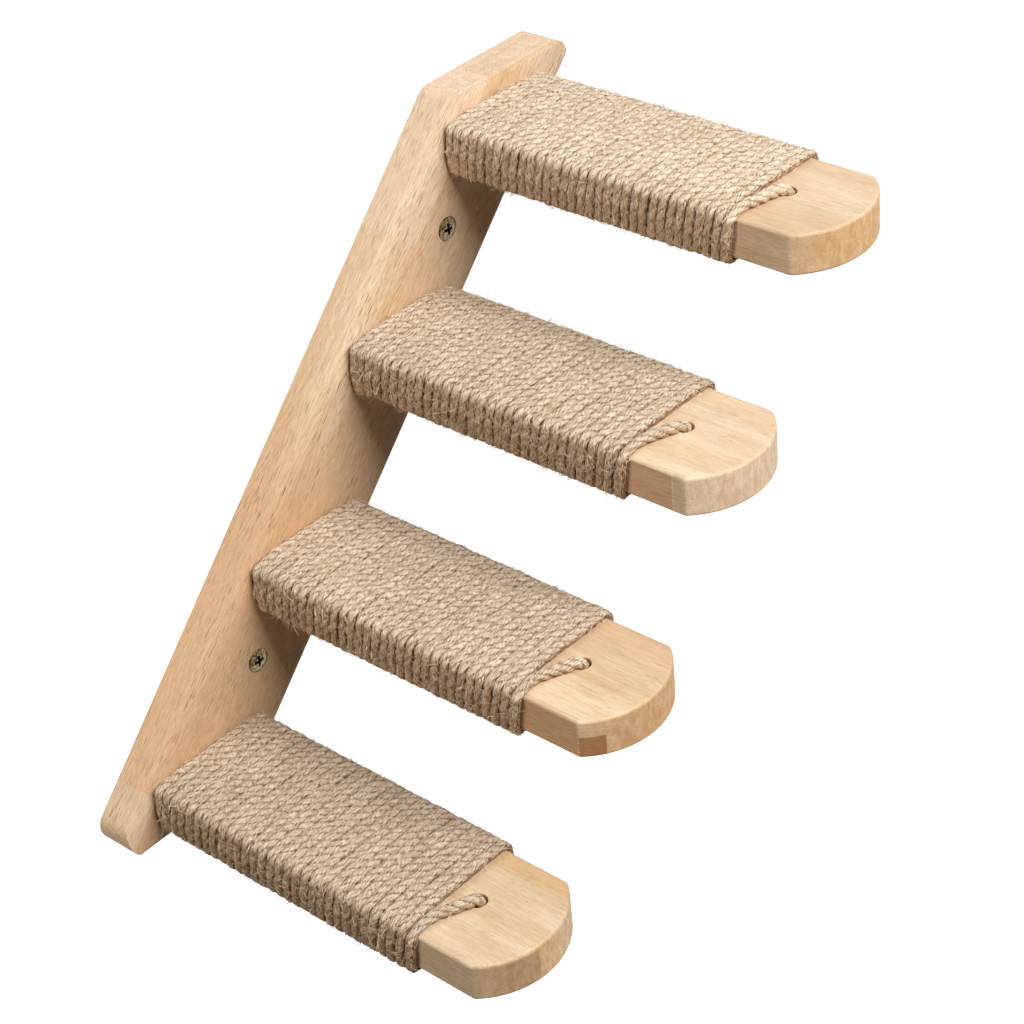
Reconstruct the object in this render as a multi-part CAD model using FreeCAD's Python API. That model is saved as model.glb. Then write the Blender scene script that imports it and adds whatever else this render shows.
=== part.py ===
import FreeCAD, Part
import math
import os

# Cat ladder that hangs flat on a wall: a leaning back board carries four treads wound with rope.
# Millimetres. The wall is the plane y = 0, the treads reach out along -Y, and +Z is up.
# The origin is the middle of the board's back face.

Vector = FreeCAD.Vector

# Treads
TREAD_COUNT = 4
TREAD_WIDTH = 65.0
TREAD_THICKNESS = 20.0
TREAD_SIDE_LENGTH = 197.0
TIP_BULGE = 16.0
TIP_CORNER_RADIUS = 4.0
TREAD_EDGE_RADIUS = 1.5

# Back board, leaning to +X at its top and cut level at both ends
BOARD_HEIGHT = 283.5
BOARD_WIDTH = 67.0
BOARD_THICKNESS = 22.0
BOARD_LEAN_DEGREES = 45.0
BOARD_ABOVE_TREADS = 13.0
BOARD_BELOW_TREADS = 10.5
BOARD_FRONT_RADIUS = 6.0
BOARD_POINTED_CORNER_RADIUS = 10.0
BOARD_BLUNT_CORNER_RADIUS = 9.0
BOARD_END_RADIUS = 3.0

# Rope winding, with its tail let into a hole in the tread's top
ROPE_DIAMETER = 4.8
ROPE_MOST_TURNS = 24
ROPE_LEAST_GAP = 0.6
ROPE_CLEARANCE = 0.2
ROPE_START_SHARE = 0.12
BARE_TIP_LENGTH = 30.0
ROPE_HOLE_SLACK = 2.1
ROPE_HOLE_FLOOR = 5.0
ROPE_HOLE_PAST_WRAP = 6.0
ROPE_TAIL_FREE_DEPTH = 1.0
GAP_SAMPLE_STEP = 1.0

# Screws that fix the board to the wall
WALL_SCREW_THREAD = 6.0
WALL_SCREW_SHANK = 4.4
WALL_SCREW_HEAD = 12.0
WALL_SCREW_DOME = 1.3
WALL_SCREW_REACH = 12.0
WALL_SCREW_POINT = 3.5
WALL_SCREW_THREAD_START = 0.6
WALL_RECESS_SPAN = 6.4

# Screws that hold each tread, driven from the back of the board
TREAD_SCREW_THREAD = 5.0
TREAD_SCREW_HEAD = 9.6
TREAD_SCREW_GRIP = 26.0
TREAD_SCREW_POINT = 4.0
TREAD_SCREW_EDGE_DISTANCE = 11.5
TREAD_RECESS_SPAN = 4.8

# Shared by both kinds of screw
HEAD_RIM = 0.6
HEAD_SINK = 0.2
SCREW_CLEARANCE = 0.3
SEAT_CLEARANCE = 0.1
PILOT_CLEARANCE = 0.15
PILOT_SPARE_DEPTH = 1.0
RECESS_WING_SHARE = 0.26
RECESS_DEPTH_SHARE = 0.42
RECESS_TAPER = 0.45

# Dowel in the middle of each tread's root
DOWEL_DIAMETER = 8.0
DOWEL_IN_BOARD = 14.0
DOWEL_IN_TREAD = 26.0
DOWEL_CHAMFER = 1.0
DOWEL_CLEARANCE = 0.1
DOWEL_SPARE_DEPTH = 1.0

# Values that follow from the sizes above
TREADS_HEIGHT = BOARD_HEIGHT - BOARD_ABOVE_TREADS - BOARD_BELOW_TREADS
STEP_RISE = (TREADS_HEIGHT - TREAD_THICKNESS) / (TREAD_COUNT - 1)
LEAN = math.radians(BOARD_LEAN_DEGREES)
BOARD_FRONT = -BOARD_THICKNESS
TOP_TREAD_HEIGHT = BOARD_HEIGHT / 2 - BOARD_ABOVE_TREADS - TREAD_THICKNESS / 2
WRAP_LENGTH = TREAD_SIDE_LENGTH - BARE_TIP_LENGTH
ROPE_RADIUS = ROPE_DIAMETER / 2
ROPE_STAND_OFF = ROPE_RADIUS + ROPE_CLEARANCE
ROPE_BEND_RADIUS = ROPE_STAND_OFF
ROPE_CORNER_RADIUS = TREAD_EDGE_RADIUS + ROPE_STAND_OFF
ROPE_HOLE_RADIUS = ROPE_RADIUS + ROPE_HOLE_SLACK
ROPE_HOLE_DEPTH = TREAD_THICKNESS - ROPE_HOLE_FLOOR
ROPE_HOLE_Y = BOARD_FRONT - WRAP_LENGTH - ROPE_HOLE_PAST_WRAP
TREAD_SCREW_OFFSET = TREAD_WIDTH / 2 - TREAD_SCREW_EDGE_DISTANCE
INTO_WALL = Vector(0, 1, 0)
INTO_TREAD = Vector(0, -1, 0)


def on_centreline(height):
    """The point of the board's back face, on its middle line, at this height."""
    return Vector(height * math.tan(LEAN), 0, height)


def tread_centre(index):
    """The middle of a tread's thickness, on the wall plane, counted from the top."""
    return on_centreline(TOP_TREAD_HEIGHT - index * STEP_RISE)


def cylinder(radius, length, start, direction):
    return Part.makeCylinder(radius, length, start, direction)


def rounded_path(points, radii):
    """One wire of straight runs, joined at the inner points by tangent arcs."""
    edges = []
    start = points[0]
    for before, corner, after, radius in zip(points, points[1:], points[2:], radii):
        inward = (before - corner).normalize()
        outward = (after - corner).normalize()
        half_angle = inward.getAngle(outward) / 2
        reach = radius / math.tan(half_angle)
        to_centre = radius / math.sin(half_angle)
        bisector = (inward + outward).normalize()
        first = corner + inward * reach
        last = corner + outward * reach
        edges.append(Part.LineSegment(start, first).toShape())
        edges.append(Part.Arc(first, corner + bisector * (to_centre - radius), last).toShape())
        start = last
    edges.append(Part.LineSegment(start, points[-1]).toShape())
    return Part.Wire(edges)


def closed_outline(points, radii):
    """A closed wire through the points, with each corner rounded by its radius."""
    middle = (points[0] + points[-1]) * 0.5
    return rounded_path([middle] + points + [middle], radii)


def board_blank():
    """A long moulding with both front edges rounded over, leaning as the board does."""
    half = BOARD_WIDTH / 2
    corners = [
        Vector(-half, 0, 0),
        Vector(-half, BOARD_FRONT, 0),
        Vector(half, BOARD_FRONT, 0),
        Vector(half, 0, 0),
    ]
    front = rounded_path(corners, [BOARD_FRONT_RADIUS] * 2)
    back = Part.LineSegment(corners[-1], corners[0]).toShape()
    section = Part.Face(Part.Wire(front.Edges + [back]))
    length = 2 * (BOARD_HEIGHT / math.cos(LEAN) + BOARD_WIDTH)
    moulding = section.extrude(Vector(0, 0, length))
    moulding.translate(Vector(0, 0, -length / 2))
    moulding.rotate(Vector(0, 0, 0), INTO_WALL, BOARD_LEAN_DEGREES)
    return moulding


def board_outline():
    """The board seen from the front: level ends, with two pointed and two blunt corners."""
    half = BOARD_WIDTH / 2 / math.cos(LEAN)
    low = on_centreline(-BOARD_HEIGHT / 2)
    high = on_centreline(BOARD_HEIGHT / 2)
    corners = [
        low + Vector(-half, 0, 0),
        low + Vector(half, 0, 0),
        high + Vector(half, 0, 0),
        high + Vector(-half, 0, 0),
    ]
    radii = [BOARD_POINTED_CORNER_RADIUS, BOARD_BLUNT_CORNER_RADIUS] * 2
    return closed_outline(corners, radii)


def board_side_view():
    """A block as tall and thick as the board, its front edges rounded where the ends meet it."""
    half_height = BOARD_HEIGHT / 2
    reach = half_height * math.tan(LEAN) + BOARD_WIDTH / math.cos(LEAN)
    corners = [
        Vector(-reach, 0, -half_height),
        Vector(-reach, BOARD_FRONT, -half_height),
        Vector(-reach, BOARD_FRONT, half_height),
        Vector(-reach, 0, half_height),
    ]
    front = rounded_path(corners, [BOARD_END_RADIUS] * 2)
    back = Part.LineSegment(corners[-1], corners[0]).toShape()
    return Part.Face(Part.Wire(front.Edges + [back])).extrude(Vector(2 * reach, 0, 0))


def screw_seat(thread, head, at, direction):
    """What a screw needs cut from the board: a clearance hole and a countersink."""
    hole_radius = thread / 2 + SCREW_CLEARANCE
    mouth_radius = head / 2 + SCREW_CLEARANCE
    sink = HEAD_SINK + HEAD_RIM
    hole = cylinder(hole_radius, BOARD_THICKNESS, at, direction)
    rim = cylinder(mouth_radius, sink, at, direction)
    cone = Part.makeCone(
        mouth_radius, hole_radius, mouth_radius - hole_radius, at + direction * sink, direction
    )
    return hole.fuse([rim, cone])


def back_board():
    front_view = Part.Face(board_outline()).extrude(Vector(0, BOARD_FRONT, 0))
    board = board_blank().common(front_view).common(board_side_view())
    cuts = []
    for index in range(TREAD_COUNT):
        centre = tread_centre(index)
        for side in (-1, 1):
            at = centre + Vector(side * TREAD_SCREW_OFFSET, 0, 0)
            cuts.append(screw_seat(TREAD_SCREW_THREAD, TREAD_SCREW_HEAD, at, INTO_TREAD))
        socket_depth = DOWEL_IN_BOARD + DOWEL_SPARE_DEPTH
        mouth = centre + Vector(0, BOARD_FRONT, 0)
        cuts.append(cylinder(DOWEL_DIAMETER / 2 + DOWEL_CLEARANCE, socket_depth, mouth, INTO_WALL))
    for place in wall_screw_places().values():
        cuts.append(screw_seat(WALL_SCREW_THREAD, WALL_SCREW_HEAD, place, INTO_WALL))
    return board.cut(cuts)


def wall_screw_places():
    """Where the wall screws enter the board's front: halfway between two treads, near each end."""
    upper = (tread_centre(0) + tread_centre(1)) * 0.5
    lower = (tread_centre(TREAD_COUNT - 2) + tread_centre(TREAD_COUNT - 1)) * 0.5
    front = Vector(0, BOARD_FRONT, 0)
    return {"upper": upper + front, "lower": lower + front}


def tread_blank():
    """A plank whose free end is a shallow arc with rounded corners, all long edges eased."""
    half = TREAD_WIDTH / 2
    low = -TREAD_THICKNESS / 2
    corner = BOARD_FRONT - TREAD_SIDE_LENGTH
    points = [
        Vector(half, BOARD_FRONT, low),
        Vector(-half, BOARD_FRONT, low),
        Vector(-half, corner, low),
        Vector(half, corner, low),
    ]
    outline = [
        Part.LineSegment(points[0], points[1]).toShape(),
        Part.LineSegment(points[1], points[2]).toShape(),
        Part.Arc(points[2], Vector(0, corner - TIP_BULGE, low), points[3]).toShape(),
        Part.LineSegment(points[3], points[0]).toShape(),
    ]
    plank = Part.Face(Part.Wire(outline)).extrude(Vector(0, 0, TREAD_THICKNESS))
    upright = [e for e in plank.Edges if e.BoundBox.ZLength > TREAD_THICKNESS / 2]
    tip_corners = [e for e in upright if e.BoundBox.YMax < BOARD_FRONT - TREAD_SIDE_LENGTH / 2]
    plank = plank.makeFillet(TIP_CORNER_RADIUS, tip_corners)
    level = [e for e in plank.Edges if e.BoundBox.ZLength < TREAD_THICKNESS / 2]
    eased = [e for e in level if e.BoundBox.YLength > TREAD_EDGE_RADIUS / 2]
    return plank.makeFillet(TREAD_EDGE_RADIUS, eased)


def tread():
    """The plank with its rope hole, two screw pilots and a dowel socket, centred on the wall line."""
    top = TREAD_THICKNESS / 2
    rope_hole = cylinder(
        ROPE_HOLE_RADIUS, ROPE_HOLE_DEPTH, Vector(0, ROPE_HOLE_Y, top), Vector(0, 0, -1)
    )
    root = Vector(0, BOARD_FRONT, 0)
    socket = cylinder(
        DOWEL_DIAMETER / 2 + DOWEL_CLEARANCE, DOWEL_IN_TREAD + DOWEL_SPARE_DEPTH, root, INTO_TREAD
    )
    pilots = [
        cylinder(
            TREAD_SCREW_THREAD / 2 + PILOT_CLEARANCE,
            TREAD_SCREW_GRIP + PILOT_SPARE_DEPTH,
            root + Vector(side * TREAD_SCREW_OFFSET, 0, 0),
            INTO_TREAD,
        )
        for side in (-1, 1)
    ]
    return tread_blank().cut([rope_hole, socket] + pilots)


def rope_points():
    """Corner points of the rope's middle line: start, the turns round the tread, and the tail."""
    half_width = TREAD_WIDTH / 2 + ROPE_STAND_OFF
    half_height = TREAD_THICKNESS / 2 + ROPE_STAND_OFF
    round_tread = 4 * (half_width + half_height)
    side_share = 2 * half_height / round_tread
    room = WRAP_LENGTH - ROPE_DIAMETER - ROPE_CLEARANCE
    turns = min(ROPE_MOST_TURNS, int(room / (ROPE_DIAMETER + ROPE_LEAST_GAP)) - 1)
    pitch = room / (turns + side_share + ROPE_START_SHARE)
    first_y = BOARD_FRONT - ROPE_STAND_OFF

    def along(turns_made):
        return first_y - pitch * (turns_made + ROPE_START_SHARE)

    start_x = -half_width + ROPE_START_SHARE * round_tread
    points = [Vector(start_x, first_y, -half_height)]
    corner_shares = [0, side_share, 0.5, 0.5 + side_share]
    corner_signs = [(-1, -1), (-1, 1), (1, 1), (1, -1)]
    for turn in range(turns):
        for share, (x_sign, z_sign) in zip(corner_shares, corner_signs):
            y = along(turn + share)
            points.append(Vector(x_sign * half_width, y, z_sign * half_height))
    points.append(Vector(-half_width, along(turns), -half_height))
    points.append(Vector(-half_width, along(turns + side_share), half_height))
    points.append(Vector(0, ROPE_HOLE_Y, half_height))
    tail_depth = ROPE_HOLE_DEPTH - ROPE_TAIL_FREE_DEPTH
    points.append(Vector(0, ROPE_HOLE_Y, TREAD_THICKNESS / 2 - tail_depth))
    return points, pitch, turns, round_tread


def least_rope_gap(path, round_tread):
    """The smallest clear distance between neighbouring turns, measured on points of the path."""
    points = path.discretize(Distance=GAP_SAMPLE_STEP)
    near = int(round_tread / 2 / GAP_SAMPLE_STEP)
    far = int(round_tread * 1.5 / GAP_SAMPLE_STEP)
    closest = min(
        points[i].distanceToPoint(points[j])
        for i in range(len(points))
        for j in range(i + near, min(i + far, len(points)))
    )
    return closest - ROPE_DIAMETER


def rope_wrap():
    """The whole winding of one tread as a single tube."""
    points, pitch, turns, round_tread = rope_points()
    bends = [ROPE_CORNER_RADIUS] * len(points[1:-1])
    bends[-1] = ROPE_BEND_RADIUS
    path = rounded_path(points, bends)
    section = Part.Wire(Part.makeCircle(ROPE_RADIUS, points[0], points[1] - points[0]))
    tube = path.makePipeShell([section], True, False)
    expected = math.pi * ROPE_RADIUS**2 * path.Length
    print(f"rope: {turns} turns, pitch {pitch:.2f}, length {path.Length:.0f}")
    print(f"rope: least gap to itself {least_rope_gap(path, round_tread):.2f}")
    print(f"rope: volume {tube.Volume:.0f}, section times length {expected:.0f}")
    return tube


def cross_recess(span, face_height):
    """A tapering cross for a driver, its mouth at face_height above the head's seat."""
    depth = span * RECESS_DEPTH_SHARE

    def cross(arm, wing, level):
        quarter = [(arm, wing), (wing, wing), (wing, arm)]
        points = []
        for turn in range(4):
            for x, z in quarter:
                for _ in range(turn):
                    x, z = -z, x
                points.append(Vector(x, level, z))
        return Part.makePolygon(points + points[:1])

    arm = span / 2
    wing = arm * RECESS_WING_SHARE
    mouth = cross(arm, wing, -face_height)
    floor = cross(arm * RECESS_TAPER, wing * RECESS_TAPER, depth - face_height)
    return Part.makeLoft([mouth, floor], True, True)


def screw_body(profile, recess):
    """Turn a half profile of (radius, distance along the screw) about the screw's axis."""
    points = [Vector(radius, along, 0) for radius, along in profile]
    outline = Part.Wire([Part.LineSegment(a, b).toShape() for a, b in zip(points, points[1:])])
    face = Part.Face(Part.Wire(outline.Edges + [Part.LineSegment(points[-1], points[0]).toShape()]))
    return face.revolve(Vector(0, 0, 0), INTO_WALL, 360).cut(recess)


def wall_screw():
    """A raised countersunk screw, its head's rim at y = 0 and its point towards +Y."""
    rim_radius = WALL_SCREW_HEAD / 2
    shank_radius = WALL_SCREW_SHANK / 2
    thread_radius = WALL_SCREW_THREAD / 2
    seat = HEAD_SINK + SEAT_CLEARANCE
    cone_end = HEAD_RIM + rim_radius - shank_radius
    thread_start = BOARD_THICKNESS - seat + WALL_SCREW_THREAD_START
    tip = BOARD_THICKNESS - seat + WALL_SCREW_REACH
    profile = [
        (0, 0),
        (rim_radius, 0),
        (rim_radius, HEAD_RIM),
        (shank_radius, cone_end),
        (shank_radius, thread_start),
        (thread_radius, thread_start),
        (thread_radius, tip - WALL_SCREW_POINT),
        (0, tip),
    ]
    body = screw_body(profile, cross_recess(WALL_RECESS_SPAN, WALL_SCREW_DOME))
    dome_radius = (rim_radius**2 + WALL_SCREW_DOME**2) / (2 * WALL_SCREW_DOME)
    ball = Part.makeSphere(dome_radius, Vector(0, dome_radius - WALL_SCREW_DOME, 0))
    slab = cylinder(rim_radius, WALL_SCREW_DOME, Vector(0, -WALL_SCREW_DOME, 0), INTO_WALL)
    dome = ball.common(slab).cut(cross_recess(WALL_RECESS_SPAN, WALL_SCREW_DOME))
    return body.fuse(dome).removeSplitter()


def tread_screw():
    """A flush countersunk screw, its head's face at y = 0 and its point towards +Y."""
    rim_radius = TREAD_SCREW_HEAD / 2
    thread_radius = TREAD_SCREW_THREAD / 2
    tip = BOARD_THICKNESS - HEAD_SINK - SEAT_CLEARANCE + TREAD_SCREW_GRIP
    profile = [
        (0, 0),
        (rim_radius, 0),
        (rim_radius, HEAD_RIM),
        (thread_radius, HEAD_RIM + rim_radius - thread_radius),
        (thread_radius, tip - TREAD_SCREW_POINT),
        (0, tip),
    ]
    return screw_body(profile, cross_recess(TREAD_RECESS_SPAN, 0))


def dowel():
    """A dowel with chamfered ends, half in the board and half in the tread."""
    length = DOWEL_IN_BOARD + DOWEL_IN_TREAD
    start = Vector(0, BOARD_FRONT + DOWEL_IN_BOARD, 0)
    pin = cylinder(DOWEL_DIAMETER / 2, length, start, INTO_TREAD)
    ends = [e for e in pin.Edges if e.BoundBox.YLength < DOWEL_CHAMFER]
    return pin.makeChamfer(DOWEL_CHAMFER, ends)


def placed(shape, offset):
    copy = shape.copy()
    copy.translate(offset)
    return copy


def all_parts():
    """Every node of the ladder by name, where it belongs."""
    parts = {"back_board": back_board()}
    seat = Vector(0, HEAD_SINK + SEAT_CLEARANCE, 0)
    one_tread = tread()
    one_wrap = rope_wrap()
    one_dowel = dowel()
    one_tread_screw = tread_screw()
    one_tread_screw.rotate(Vector(0, 0, 0), Vector(0, 0, 1), 180)
    for index in range(TREAD_COUNT):
        number = index + 1
        centre = tread_centre(index)
        parts[f"tread_{number}"] = placed(one_tread, centre)
        parts[f"rope_wrap_{number}"] = placed(one_wrap, centre)
        parts[f"tread_dowel_{number}"] = placed(one_dowel, centre)
        screws = [
            placed(one_tread_screw, centre - seat + Vector(side * TREAD_SCREW_OFFSET, 0, 0))
            for side in (-1, 1)
        ]
        parts[f"tread_screws_{number}"] = Part.Compound(screws)
    one_wall_screw = wall_screw()
    for name, place in wall_screw_places().items():
        parts[f"wall_screw_{name}"] = placed(one_wall_screw, place + seat)
    return parts


os.makedirs("parts", exist_ok=True)
for node, shape in all_parts().items():
    shape.exportStep(f"parts/{node}.step")
    print(f"{node}: {len(shape.Solids)} solid, valid {shape.isValid()}, volume {shape.Volume:.0f}")
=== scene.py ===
import math

import bpy
import numpy as np
from mathutils import Matrix, Vector


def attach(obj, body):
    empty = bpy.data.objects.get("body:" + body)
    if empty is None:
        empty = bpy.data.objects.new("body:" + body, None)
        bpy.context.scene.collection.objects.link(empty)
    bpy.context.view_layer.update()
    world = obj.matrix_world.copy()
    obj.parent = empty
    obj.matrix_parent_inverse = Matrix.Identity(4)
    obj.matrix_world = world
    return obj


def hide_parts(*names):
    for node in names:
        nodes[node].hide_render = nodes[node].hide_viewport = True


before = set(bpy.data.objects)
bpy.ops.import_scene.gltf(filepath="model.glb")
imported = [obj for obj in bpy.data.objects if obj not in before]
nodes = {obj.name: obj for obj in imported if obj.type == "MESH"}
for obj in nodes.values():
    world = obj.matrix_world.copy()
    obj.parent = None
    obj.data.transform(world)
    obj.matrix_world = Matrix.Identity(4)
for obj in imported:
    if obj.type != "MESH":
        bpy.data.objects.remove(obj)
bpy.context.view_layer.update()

MM = 0.001
MM_PER_M = 1000.0

# Sizes that the windings follow, in mm, the same as in the solids. A tread's middle has the same x and z.
TREADS = (1, 2, 3, 4)
TREAD_X = {1: 118.75, 2: 38.75, 3: -41.25, 4: -121.25}
HALF_WIDTH = 32.5
HALF_THICKNESS = 10.0
EDGE_RADIUS = 1.5
BOARD_FRONT = -22.0
HOLE_Y = -195.0

# Rope sizes in mm: the turns touch, and the rope is squeezed where it bends round the plank's edges.
TURNS = {1: 33, 2: 31, 3: 32, 4: 31}
WRAP_END = {1: -191.3, 2: -189.9, 3: -189.0, 4: -189.0}
ROPE_THICK = 5.2
ROPE_SQUEEZED = 3.7
SQUEEZE_REACH = 13.0
BEND_REACH = 7.0
ROPE_WIDTH_SHARE = 1.03
LAY_LENGTH = 17.3
ROPE_GIRTH = 15.0
LOBE_DEPTH = 0.11
TAIL_LOBE_DEPTH = 0.26
FIBRE_SLOPE = 0.17
STRANDS = 3
POINTS_PER_STRAND = 6
RING_STEP = 1.3
TAIL_RADIUS = 3.15


def srgb(r, g, b):
    """A colour written as 0 to 255 screen values, as the linear values that shaders take."""
    def one(v):
        v = v / 255.0
        return v / 12.92 if v <= 0.04045 else ((v + 0.055) / 1.055) ** 2.4
    return (one(r), one(g), one(b), 1.0)


# Node helpers

class Tree:
    """The node tree of a material or of the world, emptied, with short names for the nodes in use."""

    def __init__(self, owner):
        owner.use_nodes = True
        self.tree = owner.node_tree
        self.tree.nodes.clear()

    def add(self, kind, **settings):
        node = self.tree.nodes.new(kind)
        for key, value in settings.items():
            setattr(node, key, value)
        return node

    def link(self, a, b):
        self.tree.links.new(a, b)

    def put(self, socket, value):
        if isinstance(value, bpy.types.NodeSocket):
            self.link(value, socket)
        else:
            socket.default_value = value

    def math(self, operation, a, b=0.0, c=None):
        node = self.add("ShaderNodeMath", operation=operation)
        self.put(node.inputs[0], a)
        self.put(node.inputs[1], b)
        if c is not None:
            self.put(node.inputs[2], c)
        return node.outputs[0]

    def scaled(self, value, factor, more=None):
        if more is None:
            return self.math("MULTIPLY", value, factor)
        return self.math("MULTIPLY_ADD", value, factor, more)

    def dot(self, a, axis):
        node = self.add("ShaderNodeVectorMath", operation="DOT_PRODUCT")
        self.put(node.inputs[0], a)
        node.inputs[1].default_value = axis
        return node.outputs["Value"]

    def facing(self, normal, axis):
        return self.math("ABSOLUTE", self.dot(normal, axis))

    def split(self, vector):
        node = self.add("ShaderNodeSeparateXYZ")
        self.link(vector, node.inputs[0])
        return node.outputs

    def combine(self, x, y, z):
        node = self.add("ShaderNodeCombineXYZ")
        for socket, value in zip(node.inputs, (x, y, z)):
            self.put(socket, value)
        return node.outputs[0]

    def noise(self, vector, detail, roughness, scale=1.0):
        node = self.add("ShaderNodeTexNoise")
        self.put(node.inputs["Vector"], vector)
        node.inputs["Scale"].default_value = scale
        node.inputs["Detail"].default_value = detail
        node.inputs["Roughness"].default_value = roughness
        return node.outputs[0]

    def span(self, value, low, high, to_low=0.0, to_high=1.0):
        """A value eased from one range into another."""
        node = self.add("ShaderNodeMapRange", interpolation_type="SMOOTHSTEP")
        self.put(node.inputs["Value"], value)
        self.put(node.inputs["From Min"], low)
        self.put(node.inputs["From Max"], high)
        self.put(node.inputs["To Min"], to_low)
        self.put(node.inputs["To Max"], to_high)
        return node.outputs["Result"]

    def mix(self, factor, a, b, blend="MIX"):
        node = self.add("ShaderNodeMix", data_type="RGBA", blend_type=blend, clamp_factor=True)
        self.put(node.inputs[0], factor)
        self.put(node.inputs[6], a)
        self.put(node.inputs[7], b)
        return node.outputs[2]

    def tinted(self, colour, shade, factor=1.0):
        """A colour multiplied by a shade, as far as the factor says."""
        return self.mix(factor, colour, shade, "MULTIPLY")

    def bump(self, height, strength, distance):
        node = self.add("ShaderNodeBump")
        node.inputs["Strength"].default_value = strength
        node.inputs["Distance"].default_value = distance
        self.put(node.inputs["Height"], height)
        return node.outputs["Normal"]


class Surface(Tree):
    """A new material with one Principled shader."""

    def __init__(self, name):
        self.material = bpy.data.materials.new(name)
        super().__init__(self.material)
        self.shader = self.add("ShaderNodeBsdfPrincipled")
        self.link(self.shader.outputs["BSDF"], self.add("ShaderNodeOutputMaterial").inputs["Surface"])

    def object_place(self):
        return self.add("ShaderNodeTexCoord").outputs["Object"]

    def normal(self):
        return self.add("ShaderNodeNewGeometry").outputs["Normal"]

    def drive(self, **sockets):
        for name, value in sockets.items():
            self.put(self.shader.inputs[name.replace("_", " ")], value)


# Wood

# Noise layers: repeats per mm across the grain and along it, detail, roughness, place in the noise
FIBRE = (2.0, 0.12, 3.0, 0.7, 0.0)
RING_WARP = (0.03, 0.012, 2.0, 0.5, 5.0)
BROAD = (0.045, 0.006, 2.0, 0.5, 11.0)
FLAME = (0.22, 0.012, 3.0, 0.55, 23.0)
CROWD = (0.12, 0.012, 2.0, 0.5, 31.0)
STREAK = (0.95, 0.022, 2.0, 0.5, 47.0)
MOTTLE = (0.11, 0.03, 3.0, 0.55, 61.0)
CLUSTER = (0.3, 0.03, 2.0, 0.5, 71.0)
# Pores: cells per mm across the grain and along it
PORES = (1.5, 0.1)
FINE_PORES = (2.0, 0.15)
# Rings: repeats per mm of radius and along the grain, sideways warp and step from stave to stave in mm
RING_REPEAT, RING_DRIFT, WARP_REACH, STAVE_STEP = 0.42, 0.003, 9.0, 19.0
# End grain: repeats per mm across, along and through the plank
END_REPEAT = (0.36, 0.2, 0.15)
SEED_STEP = 37.0

FLAME_DYE, STREAK_DYE = srgb(208, 168, 128), srgb(186, 138, 98)
FINE_PORE_DYE, PORE_DYE = srgb(150, 106, 70), srgb(112, 70, 42)
STAVE_TINTS = (0.96, 0.93, 0.9, 1), (1.03, 1.035, 1.04, 1)
RING_TINTS = (0.9, 0.85, 0.79, 1), (1.03, 1.035, 1.04, 1)
CLOUD_TINTS = (0.95, 0.925, 0.895, 1), (1.025, 1.03, 1.04, 1)
BLOTCH_TINTS = (0.84, 0.76, 0.68, 1), (1.08, 1.09, 1.1, 1)
GRAIN_TINTS = (0.81, 0.755, 0.7, 1), (1.1, 1.11, 1.125, 1)
END_TINT = (0.82, 0.72, 0.62, 1)
# Painted shade for the rounded edges
EDGE_SHADE_TINT = (0.86, 0.85, 0.83, 1)


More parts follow.
